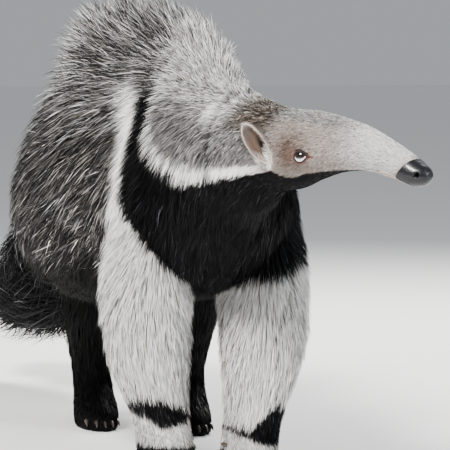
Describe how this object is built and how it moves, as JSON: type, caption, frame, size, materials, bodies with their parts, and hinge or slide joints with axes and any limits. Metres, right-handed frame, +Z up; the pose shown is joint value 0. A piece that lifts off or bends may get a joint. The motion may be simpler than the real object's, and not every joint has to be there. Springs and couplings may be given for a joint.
{
  "type": "giant anteater",
  "caption": "Giant anteater, life size, standing with its head turned to its left: long snout, shaggy mane, striped shoulder and bushy tail.",
  "frame": {"origin": "on the floor, under the middle of the whole animal's box", "axes": "+Z up, -Y the way the body faces, +X the animal's left"},
  "size_m": [0.4598, 1.9538, 0.7097],
  "materials": {
    "claw": "smooth horn",
    "ear": "thin, short-haired skin",
    "eye": "wet, glossy",
    "foreleg": "short white fur",
    "head": "short pale grey-brown fur",
    "hindleg": "short black fur",
    "neck": "grey and black coarse fur",
    "nose": "bare moist skin",
    "tail": "long dark bristles",
    "torso": "long grizzled bristles"
  },
  "bodies": {
    "root": {"claw_fore_left_first": "claw", "claw_fore_left_second": "claw", "claw_fore_left_third": "claw", "claw_fore_right_first": "claw", "claw_fore_right_second": "claw", "claw_fore_right_third": "claw", "claw_hind_left_1": "claw", "claw_hind_left_2": "claw", "claw_hind_left_3": "claw", "claw_hind_left_4": "claw", "claw_hind_left_5": "claw", "claw_hind_right_1": "claw", "claw_hind_right_2": "claw", "claw_hind_right_3": "claw", "claw_hind_right_4": "claw", "claw_hind_right_5": "claw", "ear_left": "ear", "ear_right": "ear", "eye_left": "eye", "eye_right": "eye", "foreleg_left": "foreleg", "foreleg_right": "foreleg", "head": "head", "hindleg_left": "hindleg", "hindleg_right": "hindleg", "neck": "neck", "nose": "nose", "tail": "tail", "torso": "torso"}
  },
  "joints": []
}
